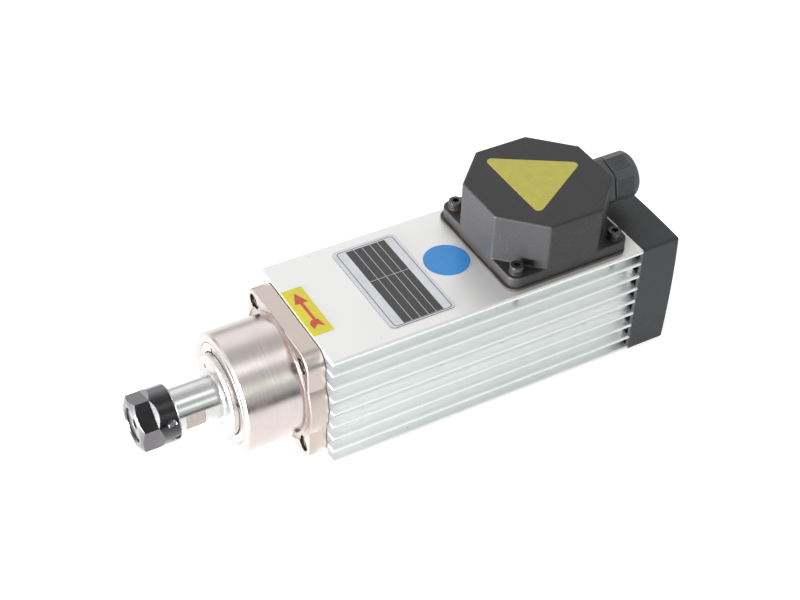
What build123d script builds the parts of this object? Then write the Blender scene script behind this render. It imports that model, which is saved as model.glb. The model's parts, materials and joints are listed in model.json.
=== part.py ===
from build123d import *
import os
from math import cos, radians, sin, sqrt, tan

os.makedirs("parts", exist_ok=True)

# Air-cooled motor spindle, in millimetres.
# X runs along the spindle with the nose towards -X, +Z is up towards the terminal box.
# The origin is on the spindle axis, in the front face of the mounting flange.

# Fits and gaps
seat_gap = 0.02
run_gap = 0.05
free_gap = 0.3
joint_gap = 0.12

# Motor housing: a finned extrusion with a round bore
body_w = 93.0
body_h = 82.0
body_len = 213.0
body_bore_d = 70.0
fin_count = 7
fin_pitch = 10.1
fin_t = 2.4
lip_t = 3.0
fin_tip_r = 0.9
groove_r = 1.8
body_edge_r = 1.0
corner_wall = 5.7

# Front bearing housing: square flange with round lobes, and the nose
flange_w = 78.6
flange_h = 81.0
flange_t = 11.2
flange_corner_r = 10.0
lobe_d = 85.4
face_ring_d = 76.8
face_step_d = 83.2
face_step_depth = 0.8
nose_d = 74.0
nose_len = 36.5
nose_rim = 1.3
spigot_len = 9.0
spigot_wall = 5.5
gasket_t = 0.8
gasket_inset = 0.6
edge_break = 0.4

# Screws along the housing corners
corner_pitch = 62.6
flange_screw_d = 5.0
flange_head_d = 8.5
flange_head_h = 5.0
flange_socket = 4.0
counterbore_d = 9.8
counterbore_depth = 6.4
flange_thread_len = 14.0

# Bearing lock ring in the nose face
lock_ring_d = 61.8
lock_ring_len = 9.0
lock_pocket_d = 51.4
lock_pocket_depth = 5.0
lock_hole_d = 34.0
notch_w = 2.4
notch_depth = 2.6
notch_len = 3.0
notch_count = 4
notch_turn = 66.0

# Front bearing pair and the rear bearing
front_bore_d = 25.0
front_outer_d = 47.0
front_brg_w = 12.0
front_ball_count = 11
spacer_w = 6.0
rear_bore_d = 17.0
rear_outer_d = 40.0
rear_brg_w = 12.0
rear_ball_count = 8
rear_brg_inset = 19.0
race_wall = 2.0
ring_shoulder = 0.36
seat_lip = 3.5
locknut_d = (front_bore_d + front_outer_d) / 2
locknut_len = 8.0
spring_t = 0.8

# Spindle shaft
shaft_d = 26.0
shaft_reach = 48.0
thread_len = 17.0
flat_af = 23.0
flat_len = 12.0
flat_start = 3.6
flat_turn = 188.8
rotor_seat_d = 24.0
rear_step_d = 20.0
fan_seat_d = 12.0
collet_taper = 8.0
collet_mouth_d = 21.0
taper_len = 29.0
drawbore_len = 14.0

# Flinger disc
flinger_d = 50.0
flinger_proud = 4.0
flinger_hub_d = 29.0
flinger_hub_proud = 0.9
flinger_rim = 1.4
flinger_rear_gap = 0.7
flinger_neck_d = 32.0
mark_d = 2.6
mark_circle_d = 36.0
mark_depth = 0.8

# Collet nut and collet
nut_d = 34.5
nut_af = 29.8
nut_len = 23.7
nut_end_gap = 0.7
nut_hex_len = 10.5
nut_face_d = 26.8
nut_rear_break = 0.9
nut_turn = 8.5
nut_mouth_d = 20.8
nut_pit_depth = 1.2
nut_pits = ((5.1, 157.7, 5.6), (2.7, 194.3, 4.6), (5.8, 197.9, 1.6))
collet_front_cone = 30.0
collet_rim_d = 19.4
collet_rim_len = 1.2
collet_groove_d = 17.8
collet_groove_len = 1.4
collet_len = 30.1
collet_recess = 1.7
collet_bore_d = 6.0
collet_slit = 0.5
collet_slits = 2
collet_bridge = 5.0

# Rotor and stator
stator_inset = 54.0
stator_len = 100.0
stator_bore_d = 45.0
slot_count = 12
slot_w = 6.0
slot_depth = 7.5
winding_reach = 18.0
winding_wall = 1.6
rotor_gap = 0.3
end_ring_len = 8.0
end_ring_inset = 1.5

# Rear end shield, fan and cover
shield_w = 78.0
shield_flange_t = 5.0
shield_spigot = 6.0
shield_hub_wall = 5.0
cover_len = 27.0
cover_wall = 2.5
cover_crown_r = 700.0
cover_corner_r = 1.6
cover_edge_r = 0.9
post_d = 9.0
cover_screw_d = 4.0
cover_screw_engage = 12.0
cover_head_d = 7.0
cover_head_h = 4.0
cover_socket = 3.0
vent_count = 18
vent_w = 3.2
vent_inner_d = 26.0
vent_outer_d = 62.0
fan_d = 70.0
fan_hub_d = 20.0
fan_plate_t = 1.5
fan_blade_t = 1.6
fan_blade_h = 9.0
fan_blades = 9
fan_gap = 2.0
clip_t = 1.0
clip_d = 17.0

# Terminal box
box_w = 84.0
box_back = 50.3
box_h = 39.9
box_foot_h = 8.4
box_gasket_t = 1.5
box_gasket_over = 0.9
box_gasket_shift = 1.0
box_wall = 2.5
box_facet = 24.0
box_foot_r = 6.5
box_corner_r = 1.6
box_edge_r = 0.9
box_foot_break = 0.6
box_screw_pitch = 70.0
box_screw_d = 5.0
box_head_d = 8.6
box_head_h = 4.2
box_socket = 4.0
box_washer_d = 9.4
box_washer_t = 1.0
box_screw_engage = 7.0
lead_hole_d = 16.0
grommet_flange_d = 20.0
grommet_flange_t = 1.6
grommet_bore_d = 8.0
block_len = 22.0
block_w = 44.0
block_h = 11.0
stud_count = 4
stud_pitch = 10.4
stud_d = 4.0
stud_h = 9.0
stud_nut_af = 7.0
stud_nut_t = 3.2

# Cable gland in the rear wall of the terminal box
gland_rise = 22.3
gland_thread_d = 20.0
gland_af = 28.0
gland_turn = 106.5
gland_collar_len = 6.9
gland_neck_d = 24.0
gland_neck_len = 9.5
gland_nut_d = 31.2
gland_nut_af = 29.2
gland_nut_len = 14.2
gland_dome_len = 5.0
gland_dome_d = 21.0
gland_mouth_d = 16.0
gland_nut_gap = 0.5
gland_seal_d = 18.0
gland_cable_d = 10.0
gland_seal_len = 12.0
gland_tail_len = 9.0
gland_locknut_t = 5.0
gland_flats = 6
ribs_per_flat = 9
rib_pitch = 1.15
rib_w = 0.5
rib_depth = 0.35
rib_inset = 0.9

# Plates and labels
plate_len = 43.2
plate_w = 76.4
plate_t = 0.4
plate_corner_r = 3.5
plate_start = 42.7
label_t = 0.2
arrow_len = 13.5
arrow_w = 42.6
arrow_start = 0.4
round_label_d = 28.6
round_label_gap = 1.9
lid_label_w = 62.5
lid_label_h = 50.8
lid_label_r = 3.2
lid_label_back = 17.7
lid_label_shift = 3.0

# Mounting holes in the underside
foot_hole_d = 6.8
foot_hole_depth = 12.0
foot_pitch_x = 130.0
foot_pitch_y = 60.0
foot_start = 48.0

# Places along the spindle, worked out from the sizes above
nose_x = -nose_len
front_brg_x = nose_x + lock_ring_len
spacer_x = front_brg_x + front_brg_w
second_brg_x = spacer_x + spacer_w
shoulder_x = second_brg_x + front_brg_w
body_x0 = flange_t + gasket_t
body_x1 = body_x0 + body_len
stator_x0 = body_x0 + stator_inset
stator_x1 = stator_x0 + stator_len
rear_brg_x = body_x1 - rear_brg_inset
rear_brg_x1 = rear_brg_x + rear_brg_w
shield_x1 = body_x1 + shield_flange_t
flinger_x = nose_x - flinger_proud
hub_x = flinger_x - flinger_hub_proud
shaft_x0 = nose_x - shaft_reach
nut_x1 = shaft_x0 + thread_len - nut_end_gap
nut_x0 = nut_x1 - nut_len
collet_x0 = nut_x0 + collet_recess
fan_x0 = shield_x1 + fan_gap
fan_x1 = fan_x0 + fan_plate_t + fan_blade_h
shaft_x1 = fan_x1 + clip_t + 1.5
cover_x1 = body_x1 + cover_len
top_z = body_h / 2
box_x = body_x1 - box_back
box_wall_x = box_x + box_w / 2
box_top_z = top_z + box_h
gland_z = top_z + gland_rise


def turned(*points):
    """Solid of revolution about the spindle axis from (x, radius) points."""
    outline = Polyline(*[(x, 0, r) for x, r in points], close=True)
    return revolve(make_face(outline), Axis.X, 360)


def rod(x0, x1, d, y=0.0, z=0.0):
    """Round bar along X."""
    disc = Plane.YZ.offset(x0) * Pos(y, z) * Circle(d / 2)
    return extrude(disc, x1 - x0)


def ring(x0, x1, outer_d, inner_d):
    """Plain ring about the spindle axis."""
    disc = Circle(outer_d / 2) - Circle(inner_d / 2)
    return extrude(Plane.YZ.offset(x0) * disc, x1 - x0)


def prism(section, x0, x1):
    """Section drawn in Y and Z, drawn out along X."""
    return extrude(Plane.YZ.offset(x0) * section, x1 - x0)


def slab(section, z0, z1):
    """Section drawn in X and Y, drawn out upwards."""
    return extrude(Plane.XY.offset(z0) * section, z1 - z0)


def around(angle):
    """Turn that brings local +Z to the given angle about X, counted from +Y to +Z."""
    return Rot(angle - 90, 0, 0)


def four_corners(pitch_a, pitch_b):
    """The four corner places of a rectangular hole pattern."""
    return [(a * pitch_a / 2, b * pitch_b / 2) for a in (-1, 1) for b in (-1, 1)]


def cap_screw(d, head_d, head_h, socket, length):
    """Socket head screw standing on Z = 0, with its shank downwards."""
    head = Cylinder(head_d / 2, head_h, align=(Align.CENTER, Align.CENTER, Align.MIN))
    head = chamfer(head.edges().group_by(Axis.Z)[-1], edge_break)
    shank = Cylinder(d / 2, length, align=(Align.CENTER, Align.CENTER, Align.MAX))
    key = RegularPolygon(socket / 2, 6, major_radius=False)
    key_depth = head_h * 0.55
    return head + shank - extrude(Pos(0, 0, head_h - key_depth) * key, key_depth)


def pit(d, depth):
    """Blind drilling going down from Z = 0, with a pointed bottom and a broken rim."""
    r = d / 2 - edge_break
    point = 0.6 * r
    hole = Pos(0, 0, (1 - depth) / 2) * Cylinder(r, depth + 1)
    hole += Pos(0, 0, -depth - point / 2) * Cone(0.1, r, point)
    return hole + Cone(r, r + 2 * edge_break, 2 * edge_break)


corner_places = four_corners(corner_pitch, corner_pitch)
core_r = body_h / 2
corner_half = corner_pitch / 2 + corner_wall


def motor_housing():
    section = Rectangle(body_w, body_h)
    gap = fin_pitch - fin_t
    lip_z = body_h / 2 - lip_t
    for k in range(fin_count + 1):
        mid = (k - fin_count / 2) * fin_pitch
        low = max(mid - gap / 2, -lip_z)
        high = min(mid + gap / 2, lip_z)
        floor = max(sqrt(core_r ** 2 - mid ** 2), corner_half)
        depth = body_w / 2 - floor
        for side in (-1, 1):
            groove = Rectangle(2 * depth, high - low)
            section -= Pos(side * body_w / 2, (low + high) / 2) * groove
    outer = [v for v in section.vertices() if abs(v.X) > body_w / 2 - 0.01]
    corners = [v for v in outer if abs(v.Y) > body_h / 2 - 0.01]
    tips = [v for v in outer if abs(v.Y) < body_h / 2 - 0.01]
    section = fillet(tips, fin_tip_r)
    inner = [v for v in section.vertices() if abs(v.X) < body_w / 2 - fin_tip_r - 0.5]
    section = fillet(inner, groove_r)
    corners = [v for v in section.vertices() if abs(v.Y) > body_h / 2 - 0.01]
    section = fillet(corners, body_edge_r)
    section -= Circle(body_bore_d / 2)
    body = prism(section, body_x0, body_x1)
    for y, z in corner_places:
        body -= rod(body_x0, body_x0 + flange_thread_len + 1, flange_screw_d + 2 * seat_gap, y, z)
        body -= rod(body_x1 - cover_screw_engage - 1, body_x1, cover_screw_d + 2 * seat_gap, y, z)
    lead_hole = Pos(box_x, 0) * Circle(lead_hole_d / 2 + seat_gap)
    body -= slab(lead_hole, 0, top_z)
    for x, y in four_corners(box_screw_pitch, box_screw_pitch):
        tapped = Pos(box_x + x, y) * Circle(box_screw_d / 2 + seat_gap)
        body -= slab(tapped, top_z - box_screw_engage - 1, top_z)
    for x, y in four_corners(foot_pitch_x, foot_pitch_y):
        foot_hole = Pos(body_x0 + foot_start + foot_pitch_x / 2 + x, y) * Circle(foot_hole_d / 2)
        body -= slab(foot_hole, -top_z, -top_z + foot_hole_depth)
    return body


def flange_outline(inset=0.0):
    square = RectangleRounded(flange_w - 2 * inset, flange_h - 2 * inset, flange_corner_r - inset)
    lobes = Circle(lobe_d / 2 - inset) & Rectangle(body_w, flange_h - 2 * inset)
    return square + lobes


def bearing_housing():
    nose = turned(
        (nose_x, 0), (nose_x, nose_d / 2 - nose_rim), (nose_x + nose_rim, nose_d / 2),
        (0, nose_d / 2), (0, 0),
    )
    flange = prism(flange_outline(), 0, flange_t)
    flange = chamfer(flange.edges().group_by(Axis.X)[0], edge_break)
    flange -= ring(0, face_step_depth, face_step_d, face_ring_d)
    spigot_d = body_bore_d - 2 * seat_gap
    spigot = rod(flange_t, body_x0 + spigot_len, spigot_d)
    housing = nose + flange + spigot
    ring_seat = lock_ring_d / 2 + joint_gap
    bore = front_outer_d / 2 + seat_gap
    rear_hole = front_outer_d / 2 - seat_lip
    inner = turned(
        (nose_x, 0), (nose_x, ring_seat + edge_break), (nose_x + edge_break, ring_seat),
        (front_brg_x, ring_seat), (front_brg_x, bore), (shoulder_x, bore),
        (shoulder_x, rear_hole), (body_x0 + spigot_len, rear_hole),
        (body_x0 + spigot_len, 0),
    )
    housing -= inner
    relief = spigot_d / 2 - spigot_wall
    housing -= ring(body_x0, body_x0 + spigot_len, 2 * relief, 2 * rear_hole + 8)
    for y, z in corner_places:
        housing -= rod(0, counterbore_depth, counterbore_d, y, z)
        housing -= rod(counterbore_depth, flange_t, flange_screw_d + 4 * seat_gap, y, z)
    return housing


def front_gasket():
    section = flange_outline(gasket_inset) - Circle(body_bore_d / 2 + 0.5)
    gasket = prism(section, flange_t, body_x0)
    for y, z in corner_places:
        gasket -= rod(flange_t, body_x0, flange_screw_d + 0.6, y, z)
    return gasket


def flange_screws():
    seat_x = counterbore_depth
    length = body_x0 - seat_x + flange_thread_len
    screw = cap_screw(flange_screw_d, flange_head_d, flange_head_h, flange_socket, length)
    upright = Rot(0, -90, 0) * screw
    return [Pos(seat_x, y, z) * upright for y, z in corner_places]


def bearing_lock_ring():
    outer = lock_ring_d / 2
    pocket = lock_pocket_d / 2
    pocket_x = nose_x + lock_pocket_depth
    body = turned(
        (nose_x, pocket), (nose_x, outer - edge_break), (nose_x + edge_break, outer),
        (front_brg_x, outer), (front_brg_x, lock_hole_d / 2), (pocket_x, lock_hole_d / 2),
        (pocket_x, pocket),
    )
    for k in range(notch_count):
        notch = Box(2 * notch_len, notch_w, 2 * notch_depth)
        place = around(notch_turn + k * 360 / notch_count) * Pos(nose_x, 0, pocket)
        body -= place * notch
    return body


def ball_bearing(x0, width, bore_d, outer_d, count):
    """Outer ring, inner ring and balls of one bearing on the spindle axis."""
    pitch_r = (bore_d + outer_d) / 4
    ball_d = (outer_d - bore_d) / 2 - 2 * race_wall
    mid_x = x0 + width / 2
    shoulder = ball_d * ring_shoulder
    race = Pos(mid_x, 0, 0) * Rot(0, 90, 0) * Torus(pitch_r, ball_d / 2 + run_gap)
    outer = ring(x0, x0 + width, outer_d, 2 * (pitch_r + shoulder)) - race
    inner = ring(x0, x0 + width, 2 * (pitch_r - shoulder), bore_d + 2 * seat_gap) - race
    balls = []
    for k in range(count):
        angle = radians(360 * k / count)
        balls.append(Pos(mid_x, pitch_r * cos(angle), pitch_r * sin(angle)) * Sphere(ball_d / 2))
    return outer, inner, balls


def spindle_shaft():
    thread_x = shaft_x0 + thread_len
    seat_r = front_bore_d / 2
    locknut_x1 = shoulder_x + locknut_len
    outer = turned(
        (shaft_x0, 0), (shaft_x0, seat_r - 0.7), (shaft_x0 + 0.7, seat_r),
        (thread_x, seat_r), (thread_x, shaft_d / 2), (hub_x, shaft_d / 2), (hub_x, seat_r),
        (locknut_x1 + 1, seat_r), (locknut_x1 + 1, rotor_seat_d / 2),
        (rear_brg_x - 8, rotor_seat_d / 2), (rear_brg_x - 8, rear_step_d / 2),
        (rear_brg_x, rear_step_d / 2), (rear_brg_x, rear_bore_d / 2),
        (rear_brg_x1 + 1, rear_bore_d / 2), (rear_brg_x1 + 1, fan_seat_d / 2),
        (shaft_x1 - 0.6, fan_seat_d / 2), (shaft_x1, fan_seat_d / 2 - 0.6), (shaft_x1, 0),
    )
    mouth_r = collet_mouth_d / 2
    throat_r = mouth_r - taper_len * tan(radians(collet_taper))
    bore_x = shaft_x0 + taper_len
    outer -= turned(
        (shaft_x0, 0), (shaft_x0, mouth_r), (bore_x, throat_r),
        (bore_x + drawbore_len, throat_r), (bore_x + drawbore_len, 0),
    )
    flat_x = thread_x + flat_start + flat_len / 2
    for turn in (flat_turn, flat_turn + 180):
        cutter = Box(flat_len, shaft_d, shaft_d)
        outer -= around(turn) * Pos(flat_x, 0, flat_af / 2 + shaft_d / 2) * cutter
    groove = ring(fan_x1, fan_x1 + clip_t, fan_seat_d + 1, fan_seat_d - 1.4)
    return outer - groove


def flinger():
    bore = front_bore_d / 2 + seat_gap
    hub = flinger_hub_d / 2
    rim = flinger_d / 2
    rear_x = nose_x + lock_pocket_depth - flinger_rear_gap
    neck = flinger_neck_d / 2
    disc = turned(
        (hub_x, bore), (hub_x, hub - 0.8), (hub_x + 0.4, hub), (flinger_x + 0.1, hub + 0.5),
        (flinger_x, rim - flinger_rim), (flinger_x + flinger_rim * 0.7, rim), (rear_x, rim),
        (rear_x, neck), (front_brg_x, neck), (front_brg_x, bore),
    )
    for turn in (43, 146, 249):
        place = around(turn) * Pos(flinger_x, 0, mark_circle_d / 2) * Rot(0, 90, 0)
        disc -= place * Cylinder(mark_d / 2, 2 * mark_depth)
    return disc


def bearing_spacers():
    wall = 3.0
    outer = ring(spacer_x, second_brg_x, front_outer_d, front_outer_d - 2 * wall)
    inner = ring(spacer_x, second_brg_x, front_bore_d + 2 * wall, front_bore_d + 2 * seat_gap)
    return outer, inner


def shaft_locknut():
    nut = ring(shoulder_x, shoulder_x + locknut_len, locknut_d, front_bore_d + 2 * seat_gap)
    for turn in range(0, 360, 90):
        slot = Pos(shoulder_x + locknut_len, 0, locknut_d / 2) * Box(locknut_len, 4, 4)
        nut -= around(turn) * slot
    return nut


def collet():
    tip_r = collet_rim_d / 2
    groove_half = collet_groove_d / 2
    cone_x = collet_x0 + collet_rim_len + collet_groove_len
    max_r = collet_mouth_d / 2 - 2 * seat_gap
    max_x = cone_x + (max_r - groove_half) / tan(radians(collet_front_cone))
    rear_x = collet_x0 + collet_len
    slope = tan(radians(collet_taper))
    taper_start = max(max_x, shaft_x0)
    rear_r = max_r - (rear_x - taper_start) * slope
    body = turned(
        (collet_x0, 0), (collet_x0, tip_r - 0.4), (collet_x0 + 0.4, tip_r),
        (collet_x0 + collet_rim_len, tip_r), (collet_x0 + collet_rim_len, groove_half),
        (cone_x, groove_half), (max_x, max_r), (taper_start, max_r), (rear_x, rear_r),
        (rear_x, 0),
    )
    body -= rod(collet_x0, rear_x, collet_bore_d)
    front_cut = collet_len - collet_bridge
    mid_x = (collet_x0 + rear_x) / 2
    step = 180 / collet_slits
    for k in range(collet_slits):
        blade = Box(front_cut, 2 * collet_mouth_d, collet_slit)
        body -= around(step * k) * Pos(mid_x - collet_bridge / 2, 0, 0) * blade
        body -= around(step * (k + 0.5)) * Pos(mid_x + collet_bridge / 2, 0, 0) * blade
    return body


def collet_nut():
    outer = nut_d / 2
    face = nut_face_d / 2
    front_break = (outer - face) * tan(radians(30))
    mouth = nut_mouth_d / 2
    lip = collet_groove_d / 2 + free_gap
    thread = front_bore_d / 2 + run_gap
    lip_x = collet_x0 + collet_rim_len + free_gap
    lip_x1 = collet_x0 + collet_rim_len + collet_groove_len - free_gap
    step_x = shaft_x0 - free_gap
    cone_r = lip + (step_x - lip_x1) * tan(radians(collet_front_cone))
    body = turned(
        (nut_x0, mouth + 0.6), (nut_x0, face), (nut_x0 + front_break, outer),
        (nut_x1 - nut_rear_break, outer), (nut_x1, outer - nut_rear_break), (nut_x1, thread),
        (step_x, thread), (step_x, cone_r), (lip_x1, lip), (lip_x, lip), (lip_x, mouth),
        (nut_x0 + 0.6, mouth),
    )
    flat = nut_af / 2
    over = outer + 2
    hex_x = nut_x0 + nut_hex_len
    side = Polyline(
        (nut_x0 - 1, 0, flat), (hex_x, 0, flat), (hex_x + over - flat, 0, over),
        (nut_x0 - 1, 0, over), close=True,
    )
    cutter = extrude(make_face(side), nut_d / 2, both=True)
    for k in range(6):
        body -= around(nut_turn + 60 * k) * cutter
    for back, turn, d in nut_pits:
        body -= around(turn) * Pos(nut_x1 - back, 0, outer) * pit(d, nut_pit_depth)
    return body


def stator_pieces():
    outer_r = body_bore_d / 2 - seat_gap
    bore_r = stator_bore_d / 2
    slot_mid = bore_r + 1.6 + slot_depth / 2
    core = ring(stator_x0, stator_x1, 2 * outer_r, stator_bore_d)
    coil_in = 2 * (bore_r + winding_wall)
    coil_out = 2 * (slot_mid + slot_depth / 2)
    front = ring(stator_x0 - winding_reach, stator_x0, coil_out, coil_in)
    front = fillet(front.edges().group_by(Axis.X)[0], 2.5)
    rear = ring(stator_x1, stator_x1 + winding_reach, coil_out, coil_in)
    rear = fillet(rear.edges().group_by(Axis.X)[-1], 2.5)
    winding = front + rear
    mid_x = (stator_x0 + stator_x1) / 2
    for k in range(slot_count):
        place = around(360 * k / slot_count) * Pos(mid_x, 0, slot_mid)
        core -= place * Box(stator_len, slot_w, slot_depth)
        bar_depth = slot_depth - 2 * seat_gap
        winding += place * Box(stator_len, slot_w - 2 * seat_gap, bar_depth)
    return core, winding


def rotor_pieces():
    core_d = stator_bore_d - 2 * rotor_gap
    bore = rotor_seat_d + 2 * seat_gap
    core = ring(stator_x0, stator_x1, core_d, bore)
    ring_out = core_d - 2 * end_ring_inset
    ring_in = rotor_seat_d + 8
    front = ring(stator_x0 - end_ring_len, stator_x0, ring_out, ring_in)
    rear = ring(stator_x1, stator_x1 + end_ring_len, ring_out, ring_in)
    return core, [front, rear]


def preload_spring():
    """Wave washer between the rear bearing and the end shield."""
    outer = rear_outer_d / 2 - 0.8
    inner = outer - 3.0
    return ring(rear_brg_x1, rear_brg_x1 + spring_t, 2 * outer, 2 * inner)


def end_shield():
    seat = rear_outer_d / 2 + seat_gap
    hub = rear_outer_d / 2 + shield_hub_wall
    seat_x1 = rear_brg_x1 + spring_t
    spigot = body_bore_d / 2 - seat_gap
    spigot_x = body_x1 - shield_spigot
    hole = fan_seat_d / 2 + 3.5
    shell = turned(
        (rear_brg_x, seat), (rear_brg_x, hub), (spigot_x, hub + 2), (spigot_x, spigot),
        (body_x1, spigot), (body_x1, hole), (seat_x1, hole), (seat_x1, seat),
    )
    shield_h = body_h - 2 * cover_wall - 2 * free_gap
    plate = RectangleRounded(shield_w, shield_h, flange_corner_r) - Circle(hole)
    shell += prism(plate, body_x1, shield_x1)
    for y, z in corner_places:
        shell -= rod(body_x1, shield_x1, cover_screw_d + 0.6, y, z)
    return shell


def rear_cover():
    edge = RectangleRounded(body_w, body_h, cover_corner_r)
    far_x = cover_x1 + 8
    block = prism(edge, body_x1, far_x)
    half_diagonal = sqrt(body_w ** 2 + body_h ** 2) / 2
    sphere_x = cover_x1 - sqrt(cover_crown_r ** 2 - half_diagonal ** 2)
    block &= Pos(sphere_x, 0, 0) * Sphere(cover_crown_r)
    block = fillet(block.edges().group_by(Axis.X)[-1], cover_edge_r)
    room_w = body_w - 2 * cover_wall
    room_h = body_h - 2 * cover_wall
    room = RectangleRounded(room_w, room_h, cover_corner_r)
    cavity = prism(room, body_x1, far_x)
    cavity &= Pos(sphere_x, 0, 0) * Sphere(cover_crown_r - cover_wall)
    block -= cavity
    for y, z in corner_places:
        post = rod(shield_x1, cover_x1, post_d, y, z)
        block += post
    seat_x = cover_x1 - cover_wall
    for y, z in corner_places:
        block -= rod(shield_x1, far_x, cover_screw_d + 0.6, y, z)
        block -= rod(seat_x, far_x, cover_head_d + 1.0, y, z)
    vent_len = (vent_outer_d - vent_inner_d) / 2
    vent_mid = (vent_outer_d + vent_inner_d) / 4
    vent = Rot(0, 0, 90) * SlotOverall(vent_len, vent_w)
    vents = [Rot(0, 0, 360 * k / vent_count) * Pos(0, vent_mid) * vent for k in range(vent_count)]
    for one in vents:
        block -= prism(one, cover_x1 - cover_wall - 3, far_x)
    return block


def cover_screws():
    seat_x = cover_x1 - cover_wall
    length = seat_x - body_x1 + cover_screw_engage
    screw = cap_screw(cover_screw_d, cover_head_d, cover_head_h, cover_socket, length)
    upright = Rot(0, 90, 0) * screw
    return [Pos(seat_x, y, z) * upright for y, z in corner_places]


def cooling_fan():
    bore = fan_seat_d + 2 * seat_gap
    plate_x1 = fan_x0 + fan_plate_t
    fan = ring(fan_x0, plate_x1, fan_d, bore) + ring(plate_x1, fan_x1, fan_hub_d, bore)
    blade_len = (fan_d - fan_hub_d) / 2
    for k in range(fan_blades):
        blade = Box(fan_blade_h, fan_blade_t, blade_len)
        mid = Pos(plate_x1 + fan_blade_h / 2, 0, (fan_d + fan_hub_d) / 4 - 0.2)
        fan += around(360 * k / fan_blades) * mid * blade
    return fan


def fan_clip():
    clip = ring(fan_x1, fan_x1 + clip_t, clip_d, fan_seat_d - 1.4 + 2 * seat_gap)
    gap = Pos(fan_x1 + clip_t / 2, 0, clip_d / 2) * Box(2 * clip_t, 5, clip_d)
    return clip - gap


def box_outline(inset=0.0):
    half = box_w / 2 - inset
    keep = half - box_facet + inset * (2 - sqrt(2))
    return make_face(Polyline(
        (half, -keep), (half, keep), (keep, half), (-keep, half), (-half, keep),
        (-half, -keep), (-keep, -half), (keep, -half), close=True,
    ))


def box_foot(inset=0.0):
    side = box_w - 2 * inset
    return RectangleRounded(side, side, box_foot_r - inset)


def terminal_box_gasket():
    outer = Pos(box_x - box_gasket_shift, 0) * box_foot(-box_gasket_over)
    gasket = slab(outer - Pos(box_x, 0) * box_outline(box_wall), top_z, top_z + box_gasket_t)
    for x, y in four_corners(box_screw_pitch, box_screw_pitch):
        hole = Pos(box_x + x, y) * Circle(box_screw_d / 2 + 0.3)
        gasket -= slab(hole, top_z, top_z + box_gasket_t)
    return gasket


def terminal_box_cover():
    base_z = top_z + box_gasket_t
    foot_z = top_z + box_foot_h
    at = Pos(box_x, 0)
    tower = slab(at * box_outline(), base_z, box_top_z)
    tower = fillet(tower.edges().filter_by(Axis.Z), box_corner_r)
    tower = fillet(tower.edges().group_by(Axis.Z)[-1], box_edge_r)
    foot = slab(at * box_foot(), base_z, foot_z)
    foot = chamfer(foot.edges().group_by(Axis.Z)[0], box_foot_break)
    cover = tower + foot
    cover -= slab(at * box_outline(box_wall), base_z, box_top_z - box_wall)
    for x, y in four_corners(box_screw_pitch, box_screw_pitch):
        hole = Pos(box_x + x, y) * Circle(box_screw_d / 2 + 0.3)
        cover -= slab(hole, base_z, foot_z)
    cover -= rod(box_wall_x - box_wall, box_wall_x, gland_thread_d + 2 * seat_gap, 0, gland_z)
    return cover


def box_screw_places():
    return [(box_x + x, y) for x, y in four_corners(box_screw_pitch, box_screw_pitch)]


def terminal_box_screws():
    seat_z = top_z + box_foot_h + box_washer_t
    length = seat_z - top_z + box_screw_engage
    screw = cap_screw(box_screw_d, box_head_d, box_head_h, box_socket, length)
    return [Pos(x, y, seat_z) * screw for x, y in box_screw_places()]


def terminal_box_washers():
    z0 = top_z + box_foot_h
    washer = Circle(box_washer_d / 2) - Circle(box_screw_d / 2 + seat_gap)
    return [slab(Pos(x, y) * washer, z0, z0 + box_washer_t) for x, y in box_screw_places()]


def lead_grommet():
    wall_inner_z = sqrt((body_bore_d / 2) ** 2 - (lead_hole_d / 2) ** 2)
    flange_z1 = top_z + grommet_flange_t
    stem = slab(Circle(lead_hole_d / 2), wall_inner_z, top_z)
    flange = slab(Circle(grommet_flange_d / 2), top_z, flange_z1)
    bore = slab(Circle(grommet_bore_d / 2), wall_inner_z, flange_z1)
    return Pos(box_x, 0, 0) * (stem + flange - bore)


def terminal_block_x():
    return box_x - grommet_flange_d / 2 - block_len / 2 - 1.0


def terminal_block():
    x = terminal_block_x()
    block = slab(Pos(x, 0) * Rectangle(block_len, block_w), top_z, top_z + block_h)
    for k in range(stud_count + 1):
        y = (k - stud_count / 2) * stud_pitch
        fence = Pos(x, y) * Rectangle(block_len, 1.6)
        block += slab(fence, top_z + block_h, top_z + block_h + stud_h * 0.6)
    for k in range(stud_count):
        y = (k - (stud_count - 1) / 2) * stud_pitch
        hole = Pos(x, y) * Circle(stud_d / 2 + seat_gap)
        block -= slab(hole, top_z + 3, top_z + block_h)
    return block


def terminal_studs():
    x = terminal_block_x()
    z = top_z + block_h
    nut = RegularPolygon(stud_nut_af / 2, 6, major_radius=False) + Circle(stud_d / 2)
    studs = []
    for k in range(stud_count):
        y = (k - (stud_count - 1) / 2) * stud_pitch
        stud = slab(Pos(x, y) * Circle(stud_d / 2), top_z + 3, z + stud_h)
        stud += slab(Pos(x, y) * nut, z, z + stud_nut_t)
        studs.append(stud)
    return studs


def gland_hexagon():
    """Hexagon of the gland's collar and locknut, its flats turned to gland_turn."""
    flats = RegularPolygon(gland_af / 2, gland_flats, major_radius=False)
    return Rot(0, 0, gland_turn + 180 / gland_flats) * flats


def gland_body():
    x = box_wall_x
    tail_x = x - gland_tail_len - box_wall
    collar = gland_hexagon() & Circle(gland_nut_d / 2)
    body = prism(collar, x, x + gland_collar_len)
    body += rod(tail_x, x, gland_thread_d)
    neck_x1 = x + gland_collar_len + gland_neck_len
    body += rod(x + gland_collar_len, neck_x1, gland_neck_d)
    body -= rod(neck_x1 - gland_seal_len, neck_x1, gland_seal_d + 2 * seat_gap)
    body -= rod(tail_x, neck_x1, gland_cable_d + 4)
    return Pos(0, 0, gland_z) * body


def gland_seal():
    x1 = box_wall_x + gland_collar_len + gland_neck_len
    seal = ring(x1 - gland_seal_len, x1, gland_seal_d, gland_cable_d)
    return Pos(0, 0, gland_z) * seal


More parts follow.
